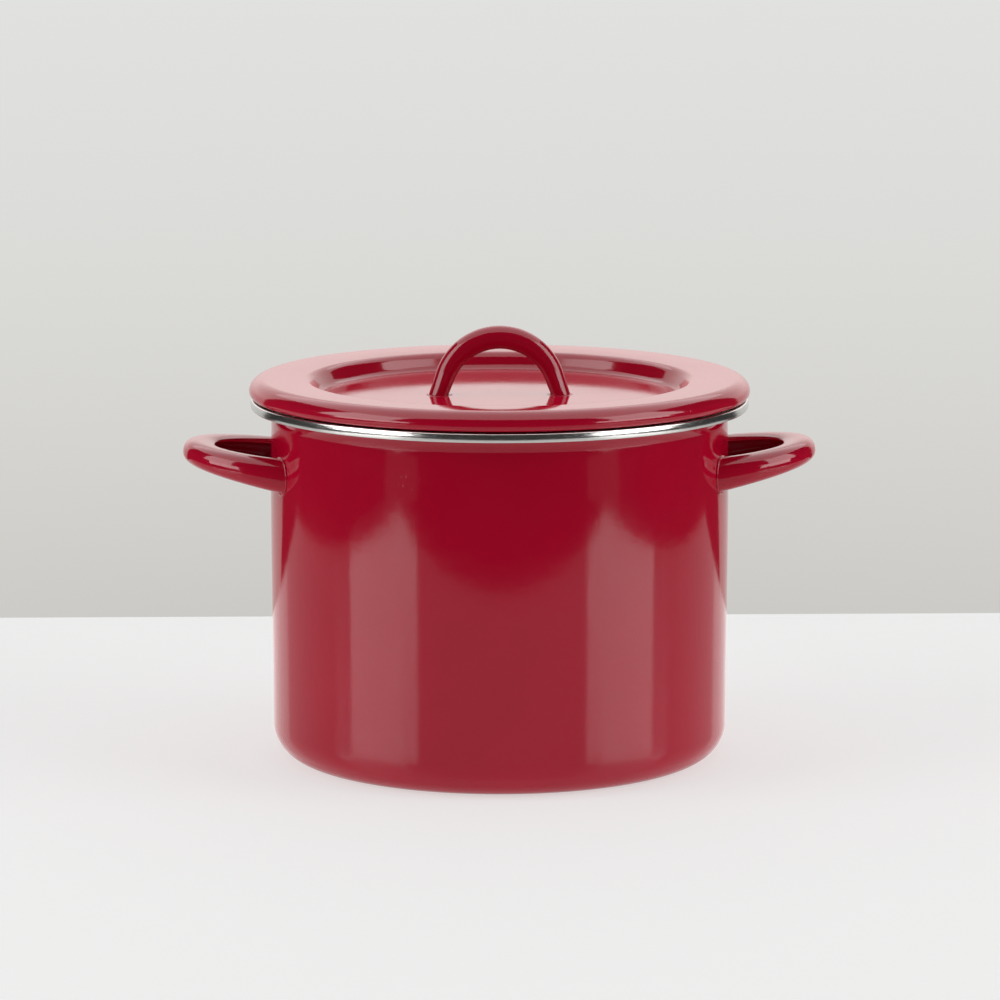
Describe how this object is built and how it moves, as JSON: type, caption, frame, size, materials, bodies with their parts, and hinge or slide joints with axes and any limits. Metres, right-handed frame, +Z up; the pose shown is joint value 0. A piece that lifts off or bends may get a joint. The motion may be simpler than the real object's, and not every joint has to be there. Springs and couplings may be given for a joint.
{
  "type": "stock pot",
  "caption": "Round enamelled steel stock pot with loop side handles, a steel rim band and a lift-off lid with a sunken middle and an arch handle.",
  "frame": {"origin": "centre of the base, on the surface the pot stands on", "axes": "+Z up out of the pot's mouth, +X through the side handles, -Y is the front"},
  "size_m": [0.3312, 0.262, 0.2274],
  "materials": {
    "red_enamel": "glossy vitreous enamel on steel",
    "rim_steel": "polished stainless steel"
  },
  "bodies": {
    "pot": {"pot_body": "red_enamel", "rim_band": "rim_steel", "side_handle_left": "red_enamel", "side_handle_right": "red_enamel", "side_weld_left_front": "red_enamel", "side_weld_left_rear": "red_enamel", "side_weld_right_front": "red_enamel", "side_weld_right_rear": "red_enamel"},
    "lid": {"lid_shell": "red_enamel", "lid_handle": "red_enamel", "lid_weld_left": "red_enamel", "lid_weld_right": "red_enamel"}
  },
  "joints": [
    {"name": "lid_lift", "type": "slide", "parent": "pot", "child": "lid", "axis": [0, 0, 1], "range_m": [0, 0.15]}
  ]
}
